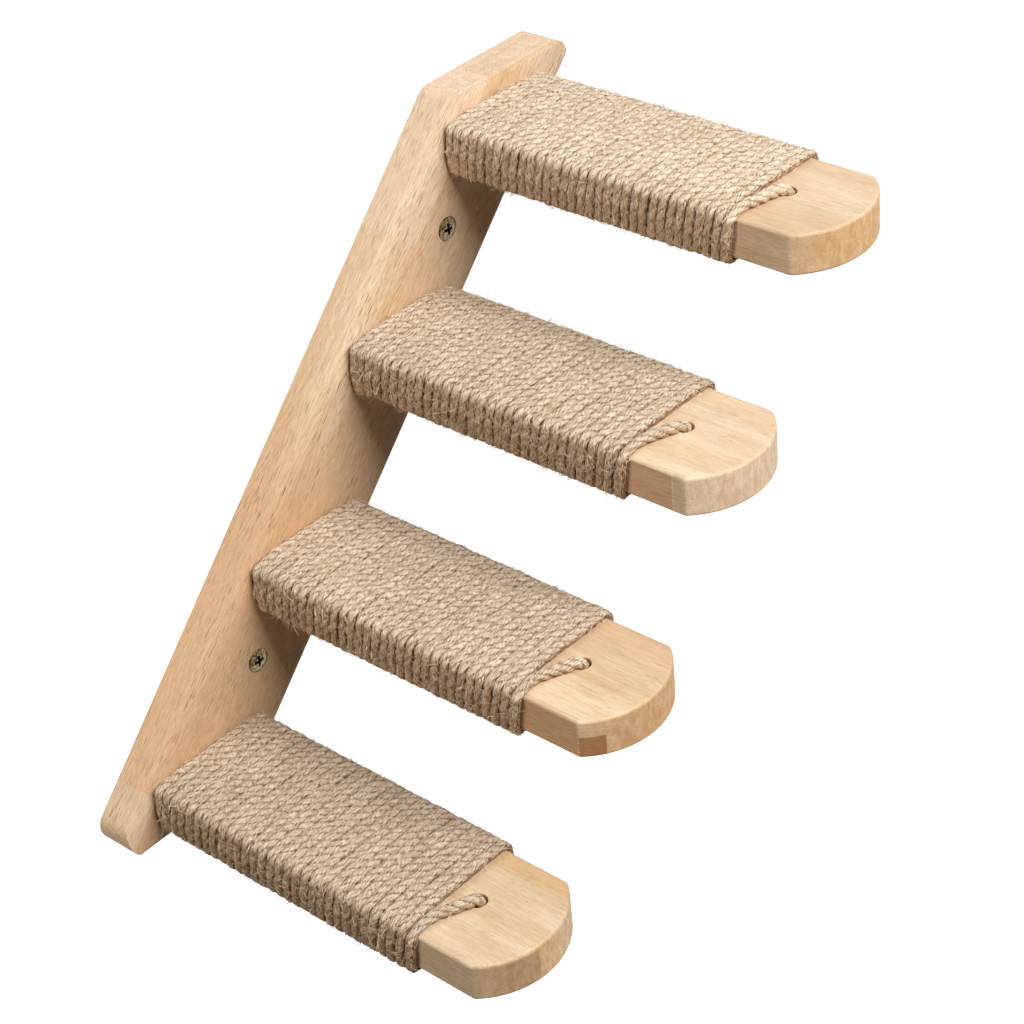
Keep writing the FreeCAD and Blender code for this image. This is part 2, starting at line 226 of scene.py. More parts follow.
def wood(name, axes, seed, tones, ring_centre, stave, end_shade, figure, patches=()):
    """Pale wood with its grain along one axis: growth rings, fine fibre, short dark pores, glued staves.

    The axes run across the grain, along it and through the plank. figure is the strength of the markings.
    A patch is a soft-edged block of another tint: centre, half size, soft edge, dye, strength, ends only.
    """
    t = Surface(name)
    across_axis, grain_axis, depth_axis = axes
    place = t.object_place()
    across, along, depth = (t.scaled(t.dot(place, axis), MM_PER_M) for axis in axes)
    normal = t.normal()
    end = t.span(t.facing(normal, grain_axis), 0.45, 0.95)
    beside = t.span(t.facing(normal, across_axis), 0.5, 0.9)
    shift = seed * SEED_STEP

    def spread(fine, long, extra=0.0):
        return t.combine(
            t.scaled(across, fine, extra + shift), t.scaled(along, long, extra), t.scaled(depth, fine, extra))

    def layer(fine, long, detail, roughness, extra):
        return t.noise(spread(fine, long, extra), detail, roughness)

    def vessels(fine, long, near, far):
        cell = t.add("ShaderNodeTexVoronoi", feature="F1")
        t.put(cell.inputs["Vector"], spread(fine, long))
        cell.inputs["Scale"].default_value = 1.0
        return t.math("SUBTRACT", 1.0, t.span(cell.outputs["Distance"], near, far))

    # Staves: blocks glued side by side, each with its own tint and its own place in the log
    stave_width, stave_length, stave_shift = stave
    brick = t.add("ShaderNodeTexBrick", offset=0.37)
    t.put(brick.inputs["Vector"], t.combine(
        t.math("ADD", along, stave_shift), t.math("ADD", across, 0.5 * stave_width), 0.0))
    for socket, value in (
            ("Color1", (0, 0, 0, 1)), ("Color2", (1, 1, 1, 1)), ("Scale", 1.0), ("Mortar Size", 0.0),
            ("Brick Width", stave_length), ("Row Height", stave_width)):
        brick.inputs[socket].default_value = value
    block = t.dot(brick.outputs["Color"], (0.3333, 0.3333, 0.3333))

    ring_x = t.math("SUBTRACT", t.scaled(layer(*RING_WARP), WARP_REACH, across), ring_centre[0])
    ring_x = t.scaled(block, STAVE_STEP, ring_x)
    ring_z = t.math("SUBTRACT", depth, ring_centre[1])
    squares = (t.math("MULTIPLY", v, v) for v in (ring_x, ring_z))
    radius = t.math("SQRT", t.math("ADD", *squares))
    rings = t.noise(t.combine(t.scaled(radius, RING_REPEAT), t.scaled(along, RING_DRIFT), shift), 3.0, 0.62)
    end_grain = t.noise(t.combine(
        t.scaled(across, END_REPEAT[0], shift),
        t.scaled(along, END_REPEAT[1]),
        t.scaled(depth, END_REPEAT[2])), 4.0, 0.62)

    fibre = layer(*FIBRE)
    streak = t.span(layer(*STREAK), 0.58, 0.7)
    crowd = t.span(layer(*CROWD), 0.36, 0.66, 0.07, 0.17 + 0.15 * figure)
    pores = vessels(*PORES, t.scaled(crowd, 0.7), crowd)
    pores = t.math("MULTIPLY", pores, t.span(layer(*CLUSTER), 0.36, 0.6, 0.25, 1.0))
    fine_pores = vessels(*FINE_PORES, 0.08, 0.3)

    colour = t.mix(t.span(layer(*BROAD), 0.34, 0.66), *tones)
    colour = t.mix(t.scaled(t.span(layer(*FLAME), 0.45, 0.7), 0.23), colour, FLAME_DYE)
    colour = t.tinted(colour, t.mix(block, *STAVE_TINTS))
    colour = t.tinted(colour, t.mix(t.span(rings, 0.38, 0.64), *RING_TINTS), t.scaled(end, 0.9, 0.32))
    colour = t.tinted(colour, t.mix(t.span(layer(*MOTTLE), 0.34, 0.66), *CLOUD_TINTS))
    for centre, size, soft, dye, strength, ends_only in patches:
        inside = end if ends_only else 1.0
        for value, middle, half in zip((across, along, depth), centre, size):
            off = t.math("ABSOLUTE", t.math("SUBTRACT", value, middle))
            inside = t.math("MULTIPLY", inside, t.span(off, half + soft, half))
        colour = t.mix(t.scaled(inside, strength), colour, dye)
    colour = t.tinted(colour, t.mix(t.span(end_grain, 0.36, 0.64), *BLOTCH_TINTS), t.scaled(end, 0.75))
    grain = t.mix(t.span(fibre, 0.3, 0.7), *GRAIN_TINTS)
    colour = t.tinted(colour, grain, t.scaled(beside, 0.35, 0.35 + 0.65 * figure))
    colour = t.mix(t.scaled(streak, 0.16 * figure), colour, STREAK_DYE)
    colour = t.mix(t.scaled(fine_pores, 0.42 * figure), colour, FINE_PORE_DYE)
    colour = t.mix(t.scaled(pores, 0.3 + 0.42 * figure), colour, PORE_DYE)
    colour = t.tinted(colour, END_TINT, t.scaled(end, end_shade))
    # Painted shade: the rounded edges between the faces are darkened, to tone down their highlight.
    level = t.facing(normal, depth_axis)
    level = t.math("MULTIPLY", level, level)
    edge_shade = t.scaled(t.math("MULTIPLY", level, t.math("SUBTRACT", 1.0, level)), 4.0)
    colour = t.tinted(colour, EDGE_SHADE_TINT, t.scaled(edge_shade, figure))

    rough = t.math("ADD", t.scaled(fibre, 0.16, 0.5), t.scaled(pores, 0.2))
    height = t.math("SUBTRACT", t.scaled(fibre, 0.25), t.math("ADD", pores, t.scaled(fine_pores, 0.5)))
    t.drive(
        Base_Color=colour, Roughness=rough, Specular_IOR_Level=0.22,
        Normal=t.bump(height, 0.25, 0.25 * MM))
    return t.material


LEAN = math.sqrt(0.5)
BOARD_AXES = (LEAN, 0, -LEAN), (LEAN, 0, LEAN), (0, 1, 0)
TREAD_AXES = (1, 0, 0), (0, 1, 0), (0, 0, 1)
BEIGE, ROSE, TAWNY, PALE_AND_LIT_END = srgb(231, 207, 177), srgb(246, 221, 193), srgb(228, 189, 147), srgb(252, 234, 208)
RUSSET, GREYED, CREAM = srgb(172, 114, 70), srgb(190, 158, 126), srgb(243, 222, 194)

BOARD_PATCHES = (
    ((0.0, -120.0, -11.0), (80.0, 60.0, 40.0), 90.0, TAWNY, 0.85, False),
    ((-45.0, -260.0, -11.0), (18.0, 68.0, 20.0), 1.2, BEIGE, 0.75, False),
    ((-34.0, 150.0, -11.0), (17.0, 54.0, 20.0), 1.2, ROSE, 0.65, False),
    # The top end face painted paler: partly the wood's own paler tone, partly painted light on the upward end
    # face.
    ((0.0, 200.0, -11.0), (80.0, 60.0, 40.0), 10.0, PALE_AND_LIT_END, 0.9, True),
)
nodes["back_board"].material_slots[0].material = wood(
    "board_rubberwood", BOARD_AXES, seed=1.3, tones=(srgb(244, 218, 186), srgb(236, 203, 164)),
    ring_centre=(10.0, 60.0), stave=(34.0, 290.0, -96.0), end_shade=0.0, figure=1.0, patches=BOARD_PATCHES)

TREAD_TONES = {
    1: (srgb(231, 210, 182), srgb(225, 200, 167)),
    2: (srgb(244, 226, 196), srgb(238, 215, 181)),
    3: (srgb(237, 213, 180), srgb(231, 203, 166)),
    4: (srgb(233, 212, 181), srgb(227, 202, 168)),
}
TREAD_END_SHADES = {1: 0.5, 2: 0.12, 3: 0.5, 4: 0.3}
DOWEL_TONES = srgb(222, 184, 140), srgb(208, 168, 122)


def whole_end(dye):
    return ((0.0, -228.0, 0.0), (40.0, 14.0, 12.0), 1.0, dye, 0.6, True)


# Patches on the treads' tips, with x and z from each tread's middle
TREAD_PATCHES = {
    1: (whole_end(srgb(253, 210, 157)),),
    2: (whole_end(srgb(255, 229, 202)),
        ((-32.5, -197.0, -1.5), (2.0, 15.0, 10.0), 1.0, srgb(205, 152, 113), 0.6, False),
        ((-32.5, -216.5, 0.0), (1.0, 2.6, 12.0), 0.8, GREYED, 0.3, False),
        ((5.5, -205.0, 10.0), (2.2, 9.0, 1.0), 0.6, CREAM, 0.55, False),
        # Painted shade along the +X edge of the tip's top, nearest the tread above
        ((25.0, -212.0, 10.0), (7.5, 40.0, 3.0), 0.8, srgb(236, 202, 165), 0.55, False)),
    3: (whole_end(srgb(247, 204, 153)),
        ((-29.2, -230.0, -8.5), (5.0, 10.6, 9.5), 0.8, RUSSET, 0.82, False),
        ((-32.5, -200.0, -1.0), (2.0, 18.0, 10.0), 2.0, srgb(203, 156, 112), 0.7, False),
        # Painted shade along the +X edge of the tip's top, nearest the tread above
        ((27.0, -212.0, 10.0), (8.0, 40.0, 3.0), 3.0, srgb(226, 186, 146), 0.5, False)),
    4: (whole_end(srgb(252, 210, 158)),
        ((-19.0, -228.0, -1.5), (13.0, 14.0, 9.0), 1.0, GREYED, 0.65, True),
        ((13.0, -228.0, 0.0), (6.0, 14.0, 12.0), 0.7, CREAM, 0.45, True),
        ((-32.5, -203.0, -1.0), (2.0, 18.0, 10.0), 2.0, srgb(196, 172, 140), 0.5, False),
        # Painted shade along the +X edge of the tip's top, nearest the tread above
        ((28.0, -212.0, 10.0), (5.5, 40.0, 3.0), 0.9, srgb(220, 180, 128), 0.6, False)),
}
for k in TREADS:
    middle = TREAD_X[k]
    patches = [((x + middle, y, z + middle), *rest) for (x, y, z), *rest in TREAD_PATCHES[k]]
    nodes[f"tread_{k}"].material_slots[0].material = wood(
        f"tread_rubberwood_{k}", TREAD_AXES, seed=2.1 + 1.7 * k, tones=TREAD_TONES[k],
        ring_centre=(middle + 14.0 * (-1) ** k, middle - 70.0), stave=(32.5, 330.0, 91.0 * k),
        end_shade=TREAD_END_SHADES[k], figure=0.4, patches=patches)
    nodes[f"tread_dowel_{k}"].material_slots[0].material = wood(
        f"dowel_beech_{k}", TREAD_AXES, seed=9.0 + k, tones=DOWEL_TONES,
        ring_centre=(middle + 30.0, middle - 40.0), stave=(90.0, 330.0, 0.0), end_shade=0.5, figure=0.8)


# Screws

# Repeats per m: cloudy tarnish, and drawn scratches along each axis
CLOUD_REPEAT = 900.0
DRAWN_REPEAT = (9000.0, 900.0, 2500.0)


def metal(name, light, dark, rough_low, rough_high):
    """Plated screw steel with cloudy tarnish and fine drawn scratches."""
    t = Surface(name)
    place = t.object_place()
    cloud = t.noise(place, 4.0, 0.6, CLOUD_REPEAT)
    drawn = t.noise(t.combine(*(t.scaled(v, n) for v, n in zip(t.split(place), DRAWN_REPEAT))), 2.0, 0.6)
    worn = t.math("ADD", t.scaled(cloud, 0.5), t.scaled(drawn, 0.5))
    t.drive(
        Base_Color=t.mix(t.span(cloud, 0.35, 0.65), dark, light), Metallic=1.0,
        Roughness=t.span(worn, 0.3, 0.7, rough_low, rough_high), Normal=t.bump(drawn, 0.12, 0.1 * MM))
    return t.material


yellow_zinc = metal("wall_screw_yellow_zinc", srgb(150, 131, 94), srgb(48, 39, 26), 0.1, 0.26)
bright_zinc = metal("tread_screw_bright_zinc", srgb(196, 198, 200), srgb(150, 152, 154), 0.2, 0.38)
for name in ("wall_screw_upper", "wall_screw_lower"):
    nodes[name].material_slots[0].material = yellow_zinc
for k in TREADS:
    nodes[f"tread_screws_{k}"].material_slots[0].material = bright_zinc


# Jute

# Noise that lies along the strands: repeats per m along the rope and round it, place in the noise, detail
STRAND_FIBRE = (520.0, 2900.0, 3.0, 3.0)
STRAND_TUFT = (360.0, 1350.0, 9.0, 2.0)
STRAND_THREAD = (110.0, 4600.0, 21.0, 2.0)
PATCHY_REPEAT, BROAD_REPEAT, SPECK_REPEAT, HAIR_REPEAT = 35.0, 26.0, 260.0, 330.0

# Per tread, the rope's own tint and paling, and partly painted light: brightest on tread 1, which no tread
# above shades, darkest on tread 4.
ROPE_TINTS_AND_LIGHT = {1: (1.12, 1.15, 1.2), 2: (1.02, 1.03, 1.06), 3: (1.02, 1.03, 1.06), 4: (0.945, 0.945, 0.965)}
ROPE_PALING_AND_LIGHT = {1: 0.4, 2: 0.25, 3: 0.25, 4: 0.25}
PALEST = 0.95
TUFT_TINTS = (0.66, 0.58, 0.5), (1.15, 1.16, 1.17, 1)
FIBRE_TINTS = (0.69, 0.62, 0.55), (1.22, 1.23, 1.24, 1)
# Painted shade in the furrows and the gaps between turns, painted light on the crests, painted shade on the
# sides and light on the top
FURROW_SHADE_SIDE, FURROW_SHADE_TOP, FURROW_PALING = (0.74, 0.66, 0.58, 1), (0.36, 0.26, 0.18), 0.3
CROWN_LIGHT = (1.08, 1.08, 1.08, 1)
GAP_SHADE_SIDE, GAP_SHADE_TOP = (0.46, 0.32, 0.21, 1), (0.58, 0.45, 0.34, 1)
SIDE_SHADE, TOP_LIGHT = (0.76, 0.64, 0.52, 1), (1.04, 1.04, 1.04, 1)


def rope_material(name, tint, paling):
    """Twisted jute with tufts that lie nearly along the rope and uneven dye; painted shade on flanks, furrows
    and gaps, painted light on top.
    """
    t = Surface(name)
    along, around, _ = t.split(t.add("ShaderNodeUVMap", uv_map="strand").outputs["UV"])
    across = t.scaled(along, ROPE_GIRTH / LAY_LENGTH + FIBRE_SLOPE, around)

    def lying(long, fine, layer, detail):
        return t.noise(t.combine(t.scaled(along, long), t.scaled(across, fine), layer), detail, 0.6)

    # A colour times the tread's tint, which is partly painted light, kept below the palest value
    def tread_colour(r, g, b):
        shade = [k * v for k, v in zip(tint, srgb(r, g, b))]
        brightest = max(shade + [PALEST])
        return tuple(PALEST * v / brightest for v in shade) + (1.0,)

    def lifted(shade):
        return tuple(v + (1.0 - v) * paling for v in shade) + (1.0,)

    fibre, tuft, thread = lying(*STRAND_FIBRE), lying(*STRAND_TUFT), lying(*STRAND_THREAD)
    patchy = t.noise(t.combine(t.scaled(along, PATCHY_REPEAT), 0.0, 17.0), 3.0, 0.6)
    place = t.object_place()
    broad = t.noise(place, 3.0, 0.55, BROAD_REPEAT)
    speck = t.noise(place, 2.0, 0.5, SPECK_REPEAT)
    crown = t.add("ShaderNodeAttribute", attribute_name="crown").outputs["Fac"]
    flank = t.add("ShaderNodeAttribute", attribute_name="flank").outputs["Fac"]
    colour = t.mix(t.span(patchy, 0.32, 0.7), tread_colour(222, 201, 174), tread_colour(237, 220, 197))
    colour = t.mix(t.scaled(t.span(broad, 0.5, 0.75), 0.4), colour, tread_colour(206, 184, 153))
    colour = t.mix(t.scaled(t.span(speck, 0.68, 0.76), 0.6), colour, tread_colour(112, 88, 62))
    colour = t.tinted(colour, t.mix(t.span(tuft, 0.38, 0.6), lifted(TUFT_TINTS[0]), TUFT_TINTS[1]))
    colour = t.tinted(colour, t.mix(t.span(fibre, 0.36, 0.64), lifted(FIBRE_TINTS[0]), FIBRE_TINTS[1]))
    colour = t.mix(t.scaled(t.span(thread, 0.6, 0.7), 0.5), colour, tread_colour(240, 226, 203))
    # Painted light and shade: the upper side is painted lighter, the other sides darker and browner; furrows
    # between strands and gaps between turns are painted darker, strand crests a little lighter.
    upper = t.span(t.dot(t.normal(), (0, 0, 1)), -0.1, 0.75)
    furrow_shade_top = tuple(v + FURROW_PALING * paling for v in FURROW_SHADE_TOP) + (1.0,)
    raised = t.span(t.scaled(tuft, 1.6, crown), 0.6, 1.5)
    colour = t.tinted(colour, t.mix(raised, t.mix(upper, FURROW_SHADE_SIDE, furrow_shade_top), CROWN_LIGHT))
    deep = t.span(t.scaled(tuft, -1.5, flank), -0.05, 0.35)
    colour = t.tinted(colour, t.mix(deep, (1, 1, 1, 1), t.mix(upper, GAP_SHADE_SIDE, GAP_SHADE_TOP)))
    colour = t.tinted(colour, t.mix(upper, SIDE_SHADE, TOP_LIGHT))
    relief = t.math("ADD", fibre, t.scaled(tuft, 2.2))
    t.drive(
        Base_Color=colour, Roughness=t.scaled(fibre, 0.2, 0.68), Specular_IOR_Level=0.25,
        Sheen_Weight=0.1, Sheen_Roughness=0.5, Normal=t.bump(relief, 1.0, 0.7 * MM))
    return t.material


def hair_material(name):
    """Loose jute fibre, each lighter or darker than the next."""
    t = Surface(name)
    tone = t.noise(t.object_place(), 2.0, 0.5, HAIR_REPEAT)
    t.drive(
        Base_Color=t.mix(t.span(tone, 0.3, 0.7), srgb(214, 186, 150), srgb(252, 240, 220)),
        Roughness=t.span(tone, 0.2, 0.8, 0.5, 0.75), Specular_IOR_Level=0.3)
    return t.material


jute = {k: rope_material(f"twisted_jute_{k}", ROPE_TINTS_AND_LIGHT[k], ROPE_PALING_AND_LIGHT[k]) for k in TREADS}
loose_jute = hair_material("loose_jute_fibre")


# Rope windings

def smooth(x):
    x = np.clip(x, 0.0, 1.0)
    return x * x * (3.0 - 2.0 * x)


def unit(vectors):
    return vectors / np.linalg.norm(vectors, axis=1)[:, None]


def slow_noise(rng, length, step, size):
    """Smooth random values along a length, one new value per step."""
    count = int(length / step) + 4
    values = rng.normal(0.0, size, count)

    def read(s):
        i = np.clip((np.asarray(s) / step).astype(int), 0, count - 2)
        f = smooth(np.asarray(s) / step - i)
        return values[i] * (1 - f) + values[i + 1] * f
    return read


# One turn round the plank, from the middle of the underside:
# left, up the -X side, over the top, down the +X side and back to the middle.
# Each stretch has its side, its direction or the angle that it starts at, and its length.
FLAT_X = 2.0 * (HALF_WIDTH - EDGE_RADIUS)
FLAT_Z = 2.0 * (HALF_THICKNESS - EDGE_RADIUS)
ARC = 0.5 * math.pi * (EDGE_RADIUS + 0.5 * ROPE_SQUEEZED)
STRETCHES = (
    ("flat", (0, -1), (-1, 0), 0.5 * FLAT_X),
    ("arc", (-1, -1), -90.0, ARC),
    ("flat", (-1, 0), (0, 1), FLAT_Z),
    ("arc", (-1, 1), 180.0, ARC),
    ("flat", (0, 1), (1, 0), FLAT_X),
    ("arc", (1, 1), 90.0, ARC),
    ("flat", (1, 0), (0, -1), FLAT_Z),
    ("arc", (1, -1), 0.0, ARC),
    ("flat", (0, -1), (-1, 0), 0.5 * FLAT_X),
)
STARTS = np.concatenate([[0.0], np.cumsum([s[3] for s in STRETCHES])])
ROUND = STARTS[-1]
ARCS = (1, 3, 5, 7)
CORNERS = np.array([STARTS[i] + 0.5 * ARC for i in ARCS])
TOP_LEFT = STARTS[3]


def round_plank(s):
    """Surface point and outward direction of the wood, thickness and bend of the rope, at lengths s."""
    s = np.asarray(s) % ROUND
    point = np.zeros((len(s), 2))
    normal = np.zeros((len(s), 2))
    size = np.array([HALF_WIDTH, HALF_THICKNESS])
    for i, (kind, side, way, length) in enumerate(STRETCHES):
        here = (s >= STARTS[i]) & (s < STARTS[i + 1])
        d = s[here] - STARTS[i]
        side = np.array(side, float)
        if kind == "flat":
            start = {0: 0.0, len(STRETCHES) - 1: -length}.get(i, -0.5 * length)
            point[here] = side * size + np.array(way, float) * (start + d)[:, None]
            normal[here] = side
        else:
            angle = np.radians(way) - d / length * 0.5 * math.pi
            out = np.stack([np.cos(angle), np.sin(angle)], -1)
            point[here] = side * (size - EDGE_RADIUS) + EDGE_RADIUS * out
            normal[here] = out
    from_corners = (s[:, None] - CORNERS[None] + 0.5 * ROUND) % ROUND - 0.5 * ROUND
    away = np.min(np.abs(from_corners), axis=1) - 0.5 * ARC
    thick = ROPE_SQUEEZED + (ROPE_THICK - ROPE_SQUEEZED) * smooth(np.maximum(away, 0.0) / SQUEEZE_REACH)
    bend = 1.0 - smooth(np.maximum(away, 0.0) / BEND_REACH)
    return point, normal, thick, bend


# How far the rope has moved on at the corners of a turn, as a share of the pitch
ADVANCE_AT = (0.0, STARTS[1], STARTS[3], STARTS[5], STARTS[7], ROUND)
ADVANCE = (0.0, 0.06, 0.78, 0.92, 0.94, 1.0)
# Extra share of a turn in the wrapped length, pitches from its two ends to the first and the last turn,
# and the length in mm of the rope's hidden start
SPARE_TURN, FIRST_TURN, LAST_TURN, HIDDEN_START = 0.25, 0.62, 0.52, 14.0
# Unevenness along the rope: mm from one random value to the next, and their spread
WANDER, SWELL, LIFT, TWIST_SLIP = (17.0, 0.2), (9.0, 0.035), (26.0, 0.14), (30.0, 0.35)
NOISE_SPARE, SWELL_OFFSET, LEAST_LIFT, LIFT_EASE = 20, 7.0, -0.1, 1.2
LUMPS = 0.02
WINDING_SEED = 40

LOBE = np.arange(POINTS_PER_STRAND) / POINTS_PER_STRAND
CROWN = np.tile(np.sin(np.pi * LOBE) ** 0.8, STRANDS)
AROUND = STRANDS * POINTS_PER_STRAND
RING_INDEX = np.arange(AROUND)
RING_NEXT = (RING_INDEX + 1) % AROUND
CAP_HEIGHT = 0.6
CAP_ATTRIBUTE = 0.3
ROUND_POWER = 2.1


def tail_line(start, last):
    """Points from the last rise over the plank's edge, slanting to the hole and down into it."""
    top = HALF_THICKNESS
    keys = np.array([
        start,
        (-26.5, last - 0.5, top + 2.3),
        (-17.0, last - 2.6, top + 2.75),
        (-8.0, HOLE_Y + 1.9, top + 2.7),
        (-1.8, HOLE_Y + 0.3, top + 1.5),
        (0.7, HOLE_Y - 0.2, top - 2.4),
        (0.9, HOLE_Y - 0.3, top - 7.5),
        (0.9, HOLE_Y - 0.3, top - 13.0),
    ])
    lead = start - (keys[1] - start) * np.array([0.2, 0.0, 0.0]) + np.array([-1.0, 0.0, -3.0])
    ctrl = np.vstack([lead, keys, keys[-1] + (0, 0, -4.0)])
    line = []
    for i in range(1, len(ctrl) - 2):
        a, b, c, e = ctrl[i - 1], ctrl[i], ctrl[i + 1], ctrl[i + 2]
        n = max(3, int(np.linalg.norm(c - b) / (0.75 * RING_STEP)))
        u = np.linspace(0.0, 1.0, n, endpoint=False)[:, None]
        line.append(0.5 * (
            2 * b + (c - a) * u + (2 * a - 5 * b + 4 * c - e) * u ** 2 + (3 * b - a - 3 * c + e) * u ** 3))
    return np.vstack(line + [keys[-1:]])[1:]


def tail_outward(along, first_out):
    """The tail's upper side, which turns towards +X where the tail dives into the hole."""
    far = np.zeros((len(along), 3))
    dive = smooth((along - 0.55) / 0.3)
    far[:, 2] = 1.0 - dive
    far[:, 0] = 0.95 * dive
    far[:, 1] = -0.3 * dive
    ease = smooth(along / 0.12)[:, None]
    return first_out * (1 - ease) + far * ease


def add_piece(name, k, verts, faces, material):
    """A mesh piece written in mm from the tread's middle, riding with the part."""
    verts[:, 0] += TREAD_X[k]
    verts[:, 2] += TREAD_X[k]
    mesh = bpy.data.meshes.new(name)
    mesh.from_pydata((verts * MM).tolist(), [], faces)
    mesh.materials.append(material)
    piece = bpy.data.objects.new(name, mesh)
    bpy.context.scene.collection.objects.link(piece)
    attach(piece, "root")
    return piece


def winding(k):
    """All turns of one tread's rope and its tail into the hole, as one closed twisted tube."""
    rng = np.random.default_rng(WINDING_SEED + k)
    turns = TURNS[k]
    pitch = (BOARD_FRONT - WRAP_END[k]) / (turns + SPARE_TURN)
    first = BOARD_FRONT - FIRST_TURN * pitch
    last = WRAP_END[k] + LAST_TURN * pitch
    start_s = -HIDDEN_START
    end_s = (turns - 1) * ROUND + TOP_LEFT
    total = end_s - start_s
    s = np.linspace(start_s, end_s, int(total / RING_STEP))
    point, normal, thick, bend = round_plank(s)
    # The rope moves on mostly on the -X side, so that the turns lie square across the top.
    whole = np.floor(s / ROUND) + np.interp(s % ROUND, ADVANCE_AT, ADVANCE)
    y = first + (last - first) * np.clip(whole - ADVANCE[2], 0.0, None) / (turns - 1)
    wander, swell, lift, twist_slip = (
        slow_noise(rng, total + NOISE_SPARE, *kind) for kind in (WANDER, SWELL, LIFT, TWIST_SLIP))
    d = s - start_s
    thick = thick * (1.0 + swell(d))
    rise = np.maximum(lift(d), LEAST_LIFT) * smooth((thick - ROPE_SQUEEZED) / LIFT_EASE)
    out = np.stack([normal[:, 0], np.zeros(len(s)), normal[:, 1]], -1)
    centre = out * (0.5 * thick + rise)[:, None]
    centre += np.stack([point[:, 0], y + wander(d), point[:, 1]], -1)
    half_n = 0.5 * thick
    half_b = np.full(len(s), 0.5 * pitch * ROPE_WIDTH_SHARE) * (1.0 + swell(d + SWELL_OFFSET))

    tail = tail_line(centre[-1], last)
    along = np.linspace(0.0, 1.0, len(tail))
    at = (0, 0.25, 0.6, 1)
    tail_n = np.interp(along, at, (half_n[-1], 2.45, TAIL_RADIUS * 0.95, TAIL_RADIUS * 0.95))
    tail_b = np.interp(along, at, (half_b[-1], 2.7, TAIL_RADIUS, TAIL_RADIUS))
    centre = np.vstack([centre, tail])
    half_n = np.concatenate([half_n, tail_n])
    half_b = np.concatenate([half_b, tail_b])

    # Frames: the outward direction turned square to the run
    run = unit(np.gradient(centre, axis=0))
    out = np.vstack([out, tail_outward(along, out[-1])])
    out = unit(out - run * np.sum(out * run, axis=1)[:, None])
    side = np.cross(run, out)
    length = np.concatenate([[0.0], np.cumsum(np.linalg.norm(np.diff(centre, axis=0), axis=1))])
    phase = 2.0 * math.pi * length / LAY_LENGTH + twist_slip(np.minimum(length, total))

    # Rings that turn with the strands, so that furrows follow their own line of points
    ease_tail = np.concatenate([np.zeros(len(s)), smooth(along / 0.2)])[:, None]
    lobe_depth = LOBE_DEPTH + (TAIL_LOBE_DEPTH - LOBE_DEPTH) * ease_tail
    lobe_size = 1.0 - lobe_depth + lobe_depth * CROWN[None, :]
    angle = (2.0 * math.pi * RING_INDEX / AROUND)[None, :] + phase[:, None]
    ca, sa = np.cos(angle), np.sin(angle)
    # A squeezed section is fuller than an ellipse, most where it bends round an edge.
    far_side = np.clip(np.maximum(-normal[:, 1], normal[:, 0]), 0.0, 1.0)
    power = ROUND_POWER + 0.5 * normal[:, 1] ** 2 + 1.8 * bend * np.sqrt(far_side)
    power = np.concatenate([power, np.full(len(tail), ROUND_POWER)])[:, None]
    full = (np.abs(ca) ** power + np.abs(sa) ** power) ** (-1.0 / power)
    radial = lobe_size * full * (1.0 + rng.normal(0.0, LUMPS, (len(centre), AROUND)))
    rings = centre[:, None, :] + out[:, None, :] * (half_n[:, None] * ca * radial)[..., None]
    rings = rings + side[:, None, :] * (half_b[:, None] * sa * radial)[..., None]
    flank = np.abs(sa) * (1.0 - 0.75 * ease_tail)

    count = len(centre)
    ends = np.vstack([centre[0] - run[0] * CAP_HEIGHT, centre[-1] + run[-1] * CAP_HEIGHT])
    verts = np.vstack([rings.reshape(-1, 3), ends])
    a = np.arange(count - 1)[:, None] * AROUND
    b = a + AROUND
    quads = np.stack([a + RING_INDEX, a + RING_NEXT, b + RING_NEXT, b + RING_INDEX], -1).reshape(-1, 4)
    cap0 = np.stack([RING_NEXT, RING_INDEX, np.full(AROUND, count * AROUND)], -1)
    base = (count - 1) * AROUND
    cap1 = np.stack([base + RING_INDEX, base + RING_NEXT, np.full(AROUND, count * AROUND + 1)], -1)
    faces = quads.tolist() + cap0.tolist() + cap1.tolist()
    piece = add_piece(f"rope_winding_{k}", k, verts, faces, jute[k])
    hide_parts(f"rope_wrap_{k}")

    mesh = piece.data
    mesh.polygons.foreach_set("use_smooth", np.ones(len(faces), bool))
    u0, u1 = np.repeat(length[:-1], AROUND), np.repeat(length[1:], AROUND)
    v0, v1 = (np.tile(j / AROUND * ROPE_GIRTH, count - 1) for j in (RING_INDEX, RING_INDEX + 1))
    corners = [np.stack(c, -1) for c in ((u0, v0), (u0, v1), (u1, v1), (u1, v0))]
    uv = np.stack(corners, 1).reshape(-1, 2)
    cap_uv = np.zeros((6 * AROUND, 2))
    cap_uv[:, 0] = np.tile([0.0, 0.0, CAP_HEIGHT], 2 * AROUND)
    cap_uv[:, 1] = np.repeat(np.tile(RING_INDEX / AROUND * ROPE_GIRTH, 2), 3)
    layer = mesh.uv_layers.new(name="strand")
    layer.data.foreach_set("uv", (np.vstack([uv, cap_uv]) * MM).astype(np.float32).ravel())
    for name, values in (("crown", np.tile(CROWN, count)), ("flank", flank.ravel())):
        attribute = mesh.attributes.new(name, "FLOAT", "POINT")
        values = np.concatenate([values, [CAP_ATTRIBUTE, CAP_ATTRIBUTE]])
        attribute.data.foreach_set("value", values.astype(np.float32))
    mesh.update()
    fuzz(k, rng, centre, run, out, side, half_n, half_b)


HAIR_STEPS = 4
HAIR_SIDES = 3
